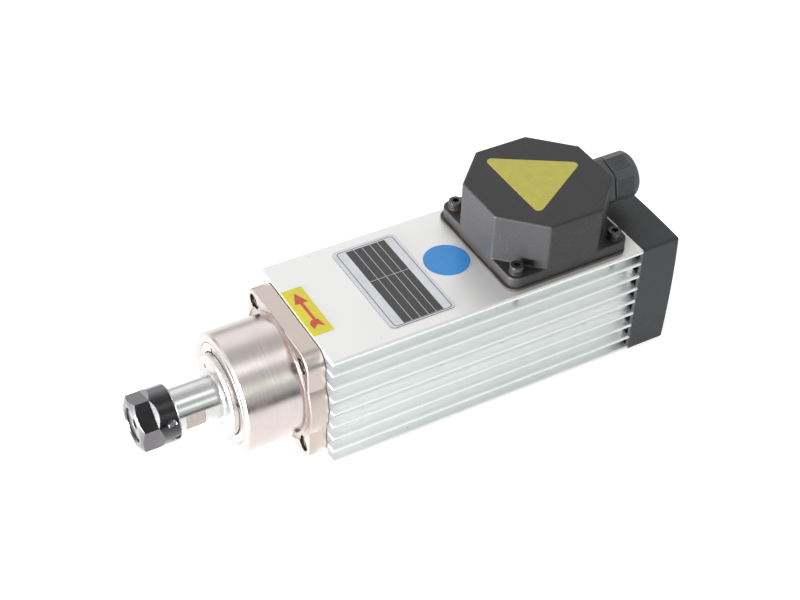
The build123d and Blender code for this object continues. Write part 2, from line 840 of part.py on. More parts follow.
def gland_locknut():
    x1 = box_wall_x - box_wall
    room = box_top_z - box_wall - free_gap - gland_z
    section = (gland_hexagon() & Circle(room)) - Circle(gland_thread_d / 2 + seat_gap)
    return Pos(0, 0, gland_z) * prism(section, x1 - gland_locknut_t, x1)


def gland_nut():
    x0 = box_wall_x + gland_collar_len + gland_nut_gap
    x1 = x0 + gland_nut_len
    x2 = x1 + gland_dome_len
    outer = gland_nut_d / 2
    mouth = gland_mouth_d / 2
    thread = gland_neck_d / 2 + run_gap
    neck_end = box_wall_x + gland_collar_len + gland_neck_len + free_gap
    dome = outer - gland_dome_d / 2
    with BuildSketch(Plane.XZ) as half:
        with BuildLine():
            Line((x0, thread), (x0, outer - 0.5))
            Line((x0, outer - 0.5), (x0 + 0.5, outer))
            Line((x0 + 0.5, outer), (x1, outer))
            TangentArc((x1, outer), (x2, outer - dome), tangent=(1, 0))
            Line((x2, outer - dome), (x2, mouth + 0.8))
            Line((x2, mouth + 0.8), (x2 - 0.8, mouth))
            Line((x2 - 0.8, mouth), (neck_end, mouth))
            Line((neck_end, mouth), (neck_end, thread))
            Line((neck_end, thread), (x0, thread))
        make_face()
    nut = revolve(half.sketch, Axis.X, 360)
    flat = gland_nut_af / 2
    depth = outer - flat + rib_depth
    rib_len = gland_nut_len - 2 * rib_inset
    for k in range(gland_flats):
        turn = around(gland_turn + 360 * k / gland_flats)
        shave = Pos((x0 + x2) / 2, 0, flat + depth / 2) * Box(x2 - x0 + 2, gland_nut_d, depth)
        nut -= turn * shave
        for j in range(ribs_per_flat):
            side = (j - (ribs_per_flat - 1) / 2) * rib_pitch
            cut = Box(rib_len, rib_w, 2 * rib_depth)
            nut -= turn * Pos((x0 + x1) / 2, side, flat) * cut
    return Pos(0, 0, gland_z) * nut


def rating_plate():
    x = body_x0 + plate_start + plate_len / 2
    section = Pos(x, 0.7) * RectangleRounded(plate_len, plate_w, plate_corner_r)
    return slab(section, top_z, top_z + plate_t)


def direction_label():
    x = body_x0 + arrow_start + arrow_len / 2
    section = Pos(x, -0.7) * RectangleRounded(arrow_len, arrow_w, 0.6)
    return slab(section, top_z, top_z + label_t)


def round_label():
    x = body_x0 + plate_start + plate_len + round_label_gap + round_label_d / 2
    return slab(Pos(x, 1.6) * Circle(round_label_d / 2), top_z, top_z + label_t)


def lid_label():
    half_w = lid_label_w / 2
    triangle = make_face(Polyline((0, -half_w), (lid_label_h, 0), (0, half_w), close=True))
    triangle = fillet(triangle.vertices(), lid_label_r)
    place = Pos(box_x - lid_label_back, lid_label_shift)
    return slab(place * triangle, box_top_z, box_top_z + label_t)


def as_group(label, pieces):
    """One solid, or a compound of separate solids, ready to write."""
    if isinstance(pieces, (list, tuple)):
        solids = [solid for piece in pieces for solid in piece.solids()]
    else:
        solids = list(pieces.solids())
    shape = solids[0] if len(solids) == 1 else Compound(children=solids)
    shape.label = label
    return shape


front_a = ball_bearing(
    front_brg_x, front_brg_w, front_bore_d, front_outer_d, front_ball_count)
front_b = ball_bearing(
    second_brg_x, front_brg_w, front_bore_d, front_outer_d, front_ball_count)
rear_brg = ball_bearing(
    rear_brg_x, rear_brg_w, rear_bore_d, rear_outer_d, rear_ball_count)
outer_spacer, inner_spacer = bearing_spacers()
stator_core, stator_winding = stator_pieces()
rotor_core, rotor_rings = rotor_pieces()

nodes = {
    "motor_housing": motor_housing(),
    "front_bearing_housing": bearing_housing(),
    "front_gasket": front_gasket(),
    "flange_screws": flange_screws(),
    "bearing_lock_ring": bearing_lock_ring(),
    "spindle_shaft": spindle_shaft(),
    "flinger": flinger(),
    "front_bearing_outer_rings": [front_a[0], front_b[0]],
    "front_bearing_inner_rings": [front_a[1], front_b[1]],
    "front_bearing_balls": front_a[2] + front_b[2],
    "outer_spacer": outer_spacer,
    "inner_spacer": inner_spacer,
    "shaft_locknut": shaft_locknut(),
    "collet": collet(),
    "collet_nut": collet_nut(),
    "stator_core": stator_core,
    "stator_winding": stator_winding,
    "rotor_core": rotor_core,
    "rotor_end_rings": rotor_rings,
    "rear_bearing_outer_ring": rear_brg[0],
    "rear_bearing_inner_ring": rear_brg[1],
    "rear_bearing_balls": rear_brg[2],
    "preload_spring": preload_spring(),
    "rear_end_shield": end_shield(),
    "cooling_fan": cooling_fan(),
    "fan_clip": fan_clip(),
    "rear_cover": rear_cover(),
    "rear_cover_screws": cover_screws(),
    "terminal_box_gasket": terminal_box_gasket(),
    "terminal_box_cover": terminal_box_cover(),
    "terminal_box_screws": terminal_box_screws(),
    "terminal_box_washers": terminal_box_washers(),
    "lead_grommet": lead_grommet(),
    "terminal_block": terminal_block(),
    "terminal_studs": terminal_studs(),
    "gland_body": gland_body(),
    "gland_seal": gland_seal(),
    "gland_locknut": gland_locknut(),
    "gland_nut": gland_nut(),
    "rating_plate": rating_plate(),
    "direction_label": direction_label(),
    "round_label": round_label(),
    "lid_label": lid_label(),
}

for name, pieces in nodes.items():
    export_step(as_group(name, pieces), f"parts/{name}.step")
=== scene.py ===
import json
from math import cos, radians, sin

import bmesh
import bpy
from mathutils import Matrix, Vector


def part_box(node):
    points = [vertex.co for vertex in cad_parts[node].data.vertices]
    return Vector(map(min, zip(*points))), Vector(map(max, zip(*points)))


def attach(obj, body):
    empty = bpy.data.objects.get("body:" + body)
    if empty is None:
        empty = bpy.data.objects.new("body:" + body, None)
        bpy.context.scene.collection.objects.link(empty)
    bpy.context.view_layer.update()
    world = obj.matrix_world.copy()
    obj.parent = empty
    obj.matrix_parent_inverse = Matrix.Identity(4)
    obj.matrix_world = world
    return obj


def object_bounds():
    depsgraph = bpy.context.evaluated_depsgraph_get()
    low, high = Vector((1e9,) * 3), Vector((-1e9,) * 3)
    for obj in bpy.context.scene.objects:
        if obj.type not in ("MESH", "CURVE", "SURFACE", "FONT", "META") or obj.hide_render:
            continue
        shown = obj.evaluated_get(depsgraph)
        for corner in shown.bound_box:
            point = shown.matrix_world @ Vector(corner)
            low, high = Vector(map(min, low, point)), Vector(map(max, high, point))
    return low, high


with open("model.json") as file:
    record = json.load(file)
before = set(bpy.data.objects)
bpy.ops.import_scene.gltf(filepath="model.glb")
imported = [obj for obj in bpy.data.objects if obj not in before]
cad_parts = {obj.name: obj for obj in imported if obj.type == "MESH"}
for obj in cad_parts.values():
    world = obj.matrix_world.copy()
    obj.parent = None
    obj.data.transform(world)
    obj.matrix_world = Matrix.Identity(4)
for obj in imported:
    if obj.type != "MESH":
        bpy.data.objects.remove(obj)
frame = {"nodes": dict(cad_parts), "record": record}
cad_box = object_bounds()
scene = bpy.context.scene


# Named values, lengths in metres

MM = 0.001
bevel_samples = 6
print_t = 0.02 * MM
housing_top = 41.0 * MM

nut_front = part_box("collet_nut")[0].x
nut_face_depth = 5.0 * MM
nut_mouth_r = 10.15 * MM
nut_pit_x = 15.45 * MM
nut_pit_r = 17.06 * MM

flat_turn = radians(188.8)
flat_reach = 11.5 * MM
flat_x0 = -63.95 * MM
flat_x1 = -51.85 * MM

flange_x0 = -0.05 * MM
ring_seat_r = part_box("bearing_lock_ring")[1].z + 0.2 * MM
flange_head_r = 4.25 * MM
flange_hole_r = 5.0 * MM
flange_screws_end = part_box("flange_screws")[1]
flange_screw_y = flange_screws_end.y - flange_head_r
flange_screw_z = flange_screws_end.z - flange_head_r


# Node helpers


class Nodes:
    """A node tree, with short calls for the nodes used here."""

    def __init__(self, tree):
        self.tree = tree

    def put(self, socket, value):
        """Links or sets a socket."""
        if isinstance(value, bpy.types.NodeSocket):
            self.tree.links.new(value, socket)
        elif socket.type == "RGBA" and len(value) == 3:
            socket.default_value = (*value, 1)
        else:
            socket.default_value = value

    def node(self, kind, **inputs):
        made = self.tree.nodes.new(kind)
        for key, value in inputs.items():
            self.put(made.inputs[key.replace("_", " ")], value)
        return made

    def math(self, operation, a, b=0.0, clamp=False):
        made = self.tree.nodes.new("ShaderNodeMath")
        made.operation = operation
        made.use_clamp = clamp
        self.put(made.inputs[0], a)
        self.put(made.inputs[1], b)
        return made.outputs[0]

    def plus(self, a, b):
        return self.math("ADD", a, b)

    def minus(self, a, b):
        return self.math("SUBTRACT", a, b)

    def times(self, a, b):
        return self.math("MULTIPLY", a, b)

    def measure(self, operation, a, b=(0, 0, 0)):
        """The number that a vector operation gives."""
        made = self.tree.nodes.new("ShaderNodeVectorMath")
        made.operation = operation
        self.put(made.inputs[0], a)
        self.put(made.inputs[1], b)
        return made.outputs["Value"]

    def join(self, x, y, z):
        return self.node("ShaderNodeCombineXYZ", X=x, Y=y, Z=z).outputs[0]

    def parts(self, vector):
        return self.node("ShaderNodeSeparateXYZ", Vector=vector).outputs

    def ramp(self, value, low, high, a=0.0, b=1.0):
        """Goes smoothly from a to b as value goes from low to high."""
        made = self.node(
            "ShaderNodeMapRange", Value=value, From_Min=low, From_Max=high, To_Min=a, To_Max=b
        )
        made.interpolation_type = "SMOOTHSTEP"
        return made.outputs[0]

    def step(self, value, at, soft, a=0.0, b=1.0):
        """Goes from a to b where value passes at, give or take soft."""
        return self.ramp(value, at - soft, at + soft, a, b)

    def between(self, value, low, high, soft):
        """1 where value lies between low and high, with soft ends."""
        up = self.step(value, low, soft)
        return self.times(up, self.step(value, high, soft, 1.0, 0.0))

    def mix(self, factor, a, b):
        """A colour between a and b."""
        made = self.tree.nodes.new("ShaderNodeMix")
        made.data_type = "RGBA"
        self.put(made.inputs[0], factor)
        self.put(made.inputs[6], a)
        self.put(made.inputs[7], b)
        return made.outputs[2]

    def mix_numbers(self, factor, a, b):
        made = self.tree.nodes.new("ShaderNodeMix")
        self.put(made.inputs[0], factor)
        self.put(made.inputs[2], a)
        self.put(made.inputs[3], b)
        return made.outputs[0]

    def shown(self):
        """1 for rays that show the picture's background or floor, 0 for light and reflections."""
        path = self.node("ShaderNodeLightPath").outputs
        return self.math("MAXIMUM", path["Is Camera Ray"], path["Is Transmission Ray"])


class Finish(Nodes):
    """A material, with its shader and the place on the piece at hand."""

    def __init__(self, name, **sockets):
        self.material = bpy.data.materials.new(name)
        self.material.use_nodes = True
        super().__init__(self.material.node_tree)
        self.shader = self.tree.nodes["Principled BSDF"]
        self.place = self.node("ShaderNodeTexCoord").outputs["Object"]
        self.x, self.y, self.z = self.parts(self.place)
        self.set(**sockets)

    def set(self, **sockets):
        for key, value in sockets.items():
            self.put(self.shader.inputs[key.replace("_", " ")], value)

    def now(self, name):
        """What feeds one of the shader's sockets so far."""
        return self.shader.inputs[name].links[0].from_socket

    def cover(self, mask, colour):
        """Lays a colour over the finish where mask is 1."""
        self.set(Base_Color=self.mix(mask, self.now("Base Color"), colour))

    def stretch(self, sx, sy, sz):
        return self.node("ShaderNodeMapping", Vector=self.place, Scale=(sx, sy, sz)).outputs[0]

    def noise(self, scale, detail=3.0, rough=0.55, at=None):
        made = self.node(
            "ShaderNodeTexNoise", Vector=at or self.place, Scale=scale, Detail=detail, Roughness=rough
        )
        return made.outputs["Fac"]

    def bands(self, scale, **inputs):
        """Lines that follow each other along X."""
        made = self.node("ShaderNodeTexWave", Vector=self.place, Scale=scale, **inputs)
        made.bands_direction = "X"
        return made.outputs["Fac"]

    def radius(self):
        """Distance from the spindle axis."""
        return self.measure("LENGTH", self.join(0.0, self.y, self.z))

    def lathe(self, lines, around):
        """Place stretched into fine rings about X, as a turning tool leaves."""
        along = self.times(self.plus(self.x, self.radius()), lines)
        return self.join(along, self.times(self.y, around), self.times(self.z, around))

    def normal(self):
        return self.node("ShaderNodeNewGeometry").outputs["Normal"]

    def facing(self, axis):
        """How far a face looks along one of the piece's own axes: 0 is X and 2 is Z."""
        made = self.tree.nodes.new("ShaderNodeVectorTransform")
        made.vector_type = "NORMAL"
        made.convert_from = "WORLD"
        made.convert_to = "OBJECT"
        self.put(made.inputs[0], self.normal())
        return self.parts(made.outputs[0])[axis]

    def soft_edges(self, radius):
        """A normal with edges rounded off by radius."""
        rounded = self.node("ShaderNodeBevel", Radius=radius)
        rounded.samples = bevel_samples
        return rounded.outputs[0]

    def edges(self, radius):
        """0 on open faces, rising towards 1 along edges within radius."""
        dot = self.measure("DOT_PRODUCT", self.soft_edges(radius), self.normal())
        return self.math("SUBTRACT", 1.0, dot, clamp=True)

    def bump(self, height, depth, strength, base=None):
        made = self.node("ShaderNodeBump", Height=height, Distance=depth, Strength=strength)
        if base is not None:
            self.put(made.inputs["Normal"], base)
        return made.outputs[0]


# Kinds of material


def shade(colour, factor):
    return tuple(c * factor for c in colour)


def turned_metal(name, colour, rough, lines=5200.0, grain=0.5, depth=0.000012):
    """Metal turned about the spindle axis: fine rings, patches and softened edges."""
    f = Finish(name, Metallic=1.0, Anisotropic=0.45)
    tangent = f.node("ShaderNodeTangent")
    tangent.direction_type = "RADIAL"
    tangent.axis = "X"
    rings = f.noise(1.0, 3.0, 0.6, f.lathe(lines, 26.0))
    patches = f.noise(55.0, 3.0, 0.6)
    dark = shade(colour, 0.86)
    tone = f.mix(f.ramp(rings, 0.3, 0.7), dark, colour)
    spread = f.times(f.minus(rings, 0.5), 0.18 * grain)
    f.set(
        Tangent=tangent.outputs[0],
        Base_Color=f.mix(f.ramp(patches, 0.35, 0.75, 0.0, 0.35), tone, dark),
        Roughness=f.plus(spread, f.ramp(patches, 0.3, 0.7, rough, rough + 0.07)),
        Normal=f.bump(rings, depth, grain, f.soft_edges(0.25 * MM)),
    )
    return f


def plain_metal(name, colour, rough, grain=2400.0, wear=None):
    """Metal with a fine all-over grain and, if asked, edges worn to another colour."""
    f = Finish(name, Metallic=1.0)
    fine = f.noise(grain, 3.0, 0.6)
    patches = f.noise(90.0, 3.0, 0.6)
    tone = f.mix(f.ramp(patches, 0.3, 0.7), shade(colour, 0.8), colour)
    if wear is not None:
        tone = f.mix(f.ramp(f.edges(0.4 * MM), 0.02, 0.25), tone, wear)
    f.set(Base_Color=tone, Roughness=f.ramp(fine, 0.25, 0.75, rough - 0.05, rough + 0.08))
    f.set(Normal=f.bump(fine, 0.000015, 0.4, f.soft_edges(0.2 * MM)))
    return f


def moulded(
    name, colour, rough, grain=1500.0, depth=0.00005, edge=None, speck=0.25, soft=0.6 * MM
):
    """Moulded plastic: leathery grain, light specks, soft edges and, if asked, lighter edges, partly
    rubbed and partly a painted highlight.
    """
    f = Finish(name)
    coarse = f.noise(grain, 4.0, 0.65)
    fine = f.noise(grain * 2.7, 2.0, 0.5)
    patches = f.noise(45.0, 3.0, 0.6)
    tone = f.mix(f.ramp(patches, 0.3, 0.75), shade(colour, 0.88), colour)
    light = tuple(min(1.0, c * 2.6 + 0.03) for c in colour)
    specks = f.ramp(f.noise(grain * 0.75, 2.0, 0.4), 0.66, 0.74, 0.0, speck)
    tone = f.mix(specks, tone, light)
    if edge is not None:
        # Lighter edges: partly rubbed wear, partly a painted highlight along the rounded edges.
        rubbed_and_highlit = f.times(f.ramp(f.edges(soft), 0.01, 0.2), f.ramp(coarse, 0.35, 0.6))
        tone = f.mix(rubbed_and_highlit, tone, edge)
    f.set(Base_Color=tone, Roughness=f.ramp(coarse, 0.25, 0.75, rough - 0.06, rough + 0.10))
    f.set(Normal=f.bump(f.plus(coarse, f.times(fine, 0.4)), depth, 0.55, f.soft_edges(soft)))
    return f


def film(name, colour, rough=0.42, dark=0.9):
    """Printed label film: even colour with faint mottling, dust and a thin clear coat."""
    f = Finish(name, Coat_Weight=0.35, Coat_Roughness=0.25)
    patches = f.noise(160.0, 4.0, 0.6)
    tone = f.mix(f.ramp(patches, 0.3, 0.7), shade(colour, dark), colour)
    dust = f.ramp(f.noise(900.0, 2.0, 0.4), 0.68, 0.76, 0.0, 0.18)
    f.set(Base_Color=f.mix(dust, tone, (0.8, 0.8, 0.78)))
    f.set(Roughness=f.ramp(patches, 0.3, 0.7, rough - 0.05, rough + 0.08))
    f.set(Normal=f.bump(f.noise(500.0, 3.0, 0.5), 0.00003, 0.35, f.soft_edges(0.15 * MM)))
    return f


def oiled_black(name, brown=0.0):
    """Blackened screws and washers: dark, oily, with rubbed edges."""
    f = Finish(name, IOR=1.75)
    rub = f.noise(260.0, 4.0, 0.65)
    tint = (0.016 + 0.02 * brown, 0.015 + 0.008 * brown, 0.015)
    tone = f.mix(f.ramp(rub, 0.3, 0.7), tint, shade(tint, 1.9))
    worn = f.times(f.ramp(f.edges(0.4 * MM), 0.03, 0.3, 0.0, 0.8), f.ramp(rub, 0.35, 0.6))
    f.set(Base_Color=f.mix(worn, tone, (0.36, 0.33, 0.31)), Metallic=worn)
    f.set(Roughness=f.ramp(f.noise(1700.0), 0.3, 0.7, 0.24, 0.36))
    f.set(Normal=f.bump(rub, 0.00002, 0.4, f.soft_edges(0.3 * MM)))
    return f


def stacked_steel(name, colour):
    """Stack of thin sheets, seen as fine lines across the axis."""
    f = Finish(name, Metallic=1.0)
    sheets = f.bands(620.0)
    stain = f.noise(140.0, 4.0, 0.6)
    tone = f.mix(sheets, shade(colour, 0.6), colour)
    f.set(Base_Color=f.mix(f.ramp(stain, 0.45, 0.75, 0.0, 0.5), tone, (0.22, 0.19, 0.17)))
    f.set(Roughness=f.ramp(stain, 0.3, 0.7, 0.38, 0.55), Normal=f.bump(sheets, 0.00006, 0.7))
    return f


def rubber(name, colour):
    """Dull rubber with a fine grain and a pale bloom in places."""
    f = Finish(name)
    fine = f.noise(1700.0, 3.0, 0.6)
    bloom = f.noise(120.0, 4.0, 0.6)
    pale = tuple(c * 2.0 + 0.02 for c in colour)
    f.set(Base_Color=f.mix(f.ramp(bloom, 0.45, 0.8, 0.0, 0.5), colour, pale))
    f.set(Roughness=f.ramp(fine, 0.3, 0.7, 0.62, 0.82), Normal=f.bump(fine, 0.00004, 0.5))
    return f


# Materials of single pieces


def body_aluminium():
    """Blasted, clear-anodised extrusion: grainy on top, drawn lines along the fins."""
    f = Finish("body_aluminium")
    grain = f.noise(2100.0, 3.0, 0.6)
    streaks = f.noise(1.0, 3.0, 0.6, f.stretch(14.0, 1500.0, 1500.0))
    broad = f.noise(1.0, 3.0, 0.6, f.stretch(9.0, 120.0, 120.0))
    patches = f.noise(38.0, 3.0, 0.6)
    on_top = f.step(f.z, housing_top - 0.25 * MM, 0.15 * MM)
    side = f.mix(f.ramp(broad, 0.3, 0.7), (0.945, 0.965, 0.96), (0.97, 0.985, 0.98))
    top = f.mix(f.ramp(grain, 0.3, 0.7), (0.95, 0.945, 0.935), (0.985, 0.98, 0.97))
    f.set(Base_Color=f.mix(on_top, side, top), Metallic=f.ramp(on_top, 0.0, 1.0, 0.80, 0.62))
    pits = f.ramp(f.noise(430.0, 2.0, 0.4), 0.765, 0.80, 0.0, 0.45)
    f.cover(pits, (0.22, 0.21, 0.20))
    rough_side = f.ramp(streaks, 0.25, 0.75, 0.27, 0.35)
    rough_top = f.ramp(grain, 0.25, 0.75, 0.34, 0.46)
    rough = f.mix_numbers(on_top, rough_side, rough_top)
    f.set(Roughness=f.plus(rough, f.ramp(patches, 0.3, 0.7, -0.02, 0.03)))
    drawn = f.bump(streaks, 0.000008, 0.3, f.soft_edges(1.5 * MM))
    f.set(Normal=f.bump(f.times(grain, on_top), 0.00005, 0.5, drawn))
    return f


def black_oxide():
    """Blackened collet nut: oiled black with a painted sheen, the front face and drillings bare."""
    f = Finish("nut_black_oxide", Metallic=1.0)
    radius = f.radius()
    face = f.ramp(f.facing(0), -0.97, -0.40, 1.0, 0.0)
    near_front = f.step(f.x, nut_front + nut_face_depth, 0.5 * MM, 1.0, 0.0)
    face = f.times(f.times(face, near_front), f.step(radius, nut_mouth_r, 0.1 * MM))
    drilled = f.step(radius, nut_pit_r, 0.06 * MM, 1.0, 0.0)
    drilled = f.times(drilled, f.step(f.x, nut_front + nut_pit_x, 0.05 * MM))
    bare = f.math("MAXIMUM", face, drilled)
    fine = f.noise(1900.0, 3.0, 0.6)
    rub = f.noise(120.0, 4.0, 0.65)
    rings = f.noise(1.0, 3.0, 0.6, f.lathe(5200.0, 30.0))
    slant = f.node("ShaderNodeLayerWeight", Blend=0.5).outputs["Facing"]
    oxide_and_sheen = f.mix(f.ramp(rub, 0.3, 0.7), (0.042, 0.040, 0.042), (0.060, 0.058, 0.061))
    # Painted sheen: a pale colour mixed in as the surface turns away from the view.
    oxide_and_sheen = f.mix(f.times(slant, slant), oxide_and_sheen, (0.74, 0.73, 0.76))
    worn = f.times(f.ramp(f.edges(0.4 * MM), 0.03, 0.3, 0.0, 0.7), f.ramp(rub, 0.35, 0.6))
    tone = f.mix(worn, oxide_and_sheen, (0.42, 0.41, 0.41))
    steel = f.mix(f.ramp(rings, 0.3, 0.7), (0.245, 0.24, 0.258), (0.335, 0.33, 0.352))
    f.set(Base_Color=f.mix(bare, tone, steel), Roughness=f.ramp(fine, 0.25, 0.75, 0.17, 0.26))
    f.set(Normal=f.bump(f.plus(fine, rings), 0.000008, 0.35, f.soft_edges(0.3 * MM)))
    return f


def shaft_steel():
    """Ground shaft with two rough-milled spanner flats."""
    f = turned_metal("shaft_steel", (0.78, 0.77, 0.775), 0.13, lines=7000.0, grain=0.35)
    reach = f.measure("DOT_PRODUCT", f.place, (0.0, cos(flat_turn), sin(flat_turn)))
    reach = f.math("ABSOLUTE", reach)
    on_flat = f.between(reach, flat_reach - 0.04 * MM, flat_reach + 0.04 * MM, 0.02 * MM)
    flat = f.times(on_flat, f.between(f.x, flat_x0, flat_x1, 0.04 * MM))
    waves = f.noise(1.0, 3.0, 0.55, f.stretch(900.0, 160.0, 160.0))
    mottle = f.noise(1300.0, 4.0, 0.65)
    milled = f.mix(f.ramp(mottle, 0.3, 0.7), (0.42, 0.385, 0.36), (0.64, 0.595, 0.565))
    f.cover(flat, milled)
    f.set(Roughness=f.plus(f.now("Roughness"), f.times(flat, 0.38)))
    height = f.times(f.plus(waves, mottle), flat)
    f.set(Normal=f.bump(height, 0.00008, 0.8, f.now("Normal")))
    return f


def nickel_housing():
    """Nickel-plated front housing: dusty turned nose, ground flange, painted shade on flange front
    and recesses.
    """
    f = turned_metal("housing_steel", (0.82, 0.735, 0.705), 0.19, depth=0.000014)
    cloud = f.noise(1.0, 3.0, 0.5, f.stretch(16.0, 48.0, 48.0))
    f.cover(f.ramp(cloud, 0.42, 0.68, 0.0, 0.4), (0.73, 0.68, 0.64))
    f.cover(f.ramp(f.noise(1150.0, 2.0, 0.4), 0.71, 0.77, 0.0, 0.5), (0.93, 0.90, 0.87))
    flange = f.step(f.x, flange_x0, 0.15 * MM)
    # Painted shade: the flange's front face, which faces the key lamp, takes a darker colour than its
    # sides.
    front = f.ramp(f.facing(0), -0.95, -0.7, 1.0, 0.0)
    f.cover(flange, f.mix(front, (0.67, 0.58, 0.53), (0.50, 0.45, 0.43)))
    f.set(Roughness=f.plus(f.now("Roughness"), f.times(flange, 0.10)))
    # Painted shade: the lock ring's seat in the bore and the flange screw holes are coloured near
    # black.
    seat_shade = f.step(f.radius(), ring_seat_r, 0.05 * MM, 1.0, 0.0)
    aside = f.minus(f.math("ABSOLUTE", f.y), flange_screw_y)
    above = f.minus(f.math("ABSOLUTE", f.z), flange_screw_z)
    reach = f.measure("LENGTH", f.join(0.0, aside, above))
    hole_shade = f.times(f.step(reach, flange_hole_r, 0.05 * MM, 1.0, 0.0), 0.85)
    f.cover(f.math("MAXIMUM", seat_shade, hole_shade), (0.035, 0.03, 0.028))
    return f


def plate_foil():
    """Bare silver plate, faintly brushed, with painted shade on its cut edges."""
    f = Finish("plate_silver", Metallic=0.85)
    brushed = f.noise(1.0, 3.0, 0.6, f.stretch(3800.0, 24.0, 400.0))
    patches = f.noise(60.0, 3.0, 0.6)
    f.set(Base_Color=f.mix(f.ramp(brushed, 0.3, 0.7), (0.72, 0.725, 0.78), (0.83, 0.835, 0.88)))
    f.cover(f.ramp(patches, 0.3, 0.7, 0.0, 0.3), (0.56, 0.56, 0.61))
    # Painted shade: faces turned away from upwards, the plate's cut edges, are coloured dark.
    f.cover(f.ramp(f.facing(2), 0.4, 0.9, 1.0, 0.0), (0.22, 0.22, 0.24))
    f.set(Roughness=f.ramp(brushed, 0.2, 0.8, 0.34, 0.46), Normal=f.bump(brushed, 0.000015, 0.4))
    return f


def wound_copper():
    """Lacquered winding with wavy wire lines."""
    f = Finish("winding_copper", Metallic=0.6, Coat_Weight=0.5, Coat_Roughness=0.2)
    lines = f.bands(320.0, Distortion=6.0, Detail_Scale=40.0)
    f.set(Base_Color=f.mix(lines, (0.28, 0.10, 0.04), (0.62, 0.28, 0.12)))
    f.set(Roughness=f.ramp(f.noise(700.0), 0.3, 0.7, 0.28, 0.45), Normal=f.bump(lines, 0.0002, 0.8))
    return f


finishes = {
    "body_aluminium": body_aluminium(),
    "housing_steel": nickel_housing(),
    "gasket_rubber": rubber("gasket_rubber", (0.075, 0.065, 0.058)),
    "flange_screw_steel": plain_metal(
        "flange_screw_steel", (0.15, 0.14, 0.135), 0.30, wear=(0.60, 0.56, 0.53)
    ),
    "lock_ring_steel": turned_metal("lock_ring_steel", (0.71, 0.655, 0.635), 0.26, grain=0.6),
    "shaft_steel": shaft_steel(),
    "flinger_steel": turned_metal("flinger_steel", (0.76, 0.745, 0.735), 0.22),
    "bearing_ring_steel": turned_metal("bearing_ring_steel", (0.72, 0.72, 0.74), 0.12, grain=0.3),
    "ball_steel": plain_metal("ball_steel", (0.85, 0.85, 0.87), 0.10, grain=900.0),
    "spacer_steel": turned_metal("spacer_steel", (0.60, 0.60, 0.62), 0.30),
    "locknut_steel": plain_metal(
        "locknut_steel", (0.16, 0.15, 0.15), 0.34, wear=(0.40, 0.39, 0.38)
    ),
    "collet_steel": turned_metal("collet_steel", (0.64, 0.62, 0.60), 0.24, grain=0.6),
    "nut_black_oxide": black_oxide(),
    "lamination_steel": stacked_steel("lamination_steel", (0.46, 0.46, 0.47)),
    "winding_copper": wound_copper(),
    "rotor_steel": stacked_steel("rotor_steel", (0.50, 0.50, 0.51)),
    "rotor_aluminium": plain_metal("rotor_aluminium", (0.70, 0.71, 0.72), 0.42, grain=900.0),
    "spring_steel": plain_metal("spring_steel", (0.45, 0.44, 0.42), 0.28),
    "shield_aluminium": plain_metal("shield_aluminium", (0.66, 0.67, 0.67), 0.44, grain=1100.0),
    "fan_plastic": moulded("fan_plastic", (0.035, 0.035, 0.038), 0.40, speck=0.0),
    "clip_steel": plain_metal("clip_steel", (0.14, 0.14, 0.14), 0.40, wear=(0.4, 0.4, 0.4)),
    "cover_plastic": moulded(
        "cover_plastic", (0.034, 0.036, 0.039), 0.46, grain=1300.0, edge=(0.06, 0.06, 0.065),
        speck=0.1, soft=1.4 * MM
    ),
    "cover_screw_steel": oiled_black("cover_screw_steel"),
    "box_plastic": moulded(
        "box_plastic", (0.031, 0.030, 0.032), 0.44, grain=1250.0, depth=0.00012,
        edge=(0.13, 0.127, 0.137), speck=0.6, soft=2.0 * MM
    ),
    "box_screw_steel": oiled_black("box_screw_steel"),
    "box_washer_steel": oiled_black("box_washer_steel", brown=1.0),
    "grommet_rubber": rubber("grommet_rubber", (0.030, 0.030, 0.030)),
    "block_plastic": moulded("block_plastic", (0.42, 0.36, 0.26), 0.45, speck=0.0),
    "stud_brass": plain_metal("stud_brass", (0.72, 0.52, 0.22), 0.26, wear=(0.85, 0.66, 0.34)),
    "gland_plastic": moulded(
        "gland_plastic", (0.130, 0.138, 0.148), 0.33, grain=900.0, depth=0.00001, speck=0.0,
        soft=0.3 * MM
    ),
    "gland_rubber": rubber("gland_rubber", (0.010, 0.010, 0.010)),
    "gland_nut_plastic": moulded(
        "gland_nut_plastic", (0.135, 0.144, 0.155), 0.20, grain=900.0, depth=0.00001,
        speck=0.0, soft=0.12 * MM
    ),
    "plate_silver": plate_foil(),
    "arrow_label_yellow": film("arrow_label_yellow", (0.93, 0.83, 0.030)),
    "label_blue": film("label_blue", (0.030, 0.335, 0.88)),
    "label_yellow": film("label_yellow", (0.67, 0.61, 0.070)),
}

for entry in frame["record"]["subparts"]:
    piece = frame["nodes"][entry["node"]]
    piece.data.materials.clear()
    piece.data.materials.append(finishes[entry["material_slot"]].material)


# Printed pieces, outlines in millimetres


def thin_piece(name, outlines, z0, finish):
    """Flat outlines given a small thickness upwards from z0, riding on the frame."""
    mesh = bpy.data.meshes.new(name)
    bm = bmesh.new()
    for outline in outlines:
        low = [bm.verts.new((x * MM, y * MM, z0)) for x, y in outline]
        high = [bm.verts.new((x * MM, y * MM, z0 + print_t)) for x, y in outline]
        bm.faces.new(list(reversed(low)))
        bm.faces.new(high)
        for k in range(len(outline)):
            m = (k + 1) % len(outline)
            bm.faces.new((low[k], low[m], high[m], high[k]))
    bmesh.ops.recalc_face_normals(bm, faces=bm.faces)
    bm.to_mesh(mesh)
    bm.free()
    piece = bpy.data.objects.new(name, mesh)
    scene.collection.objects.link(piece)
    mesh.materials.append(finish.material)
    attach(piece, "stator_frame")


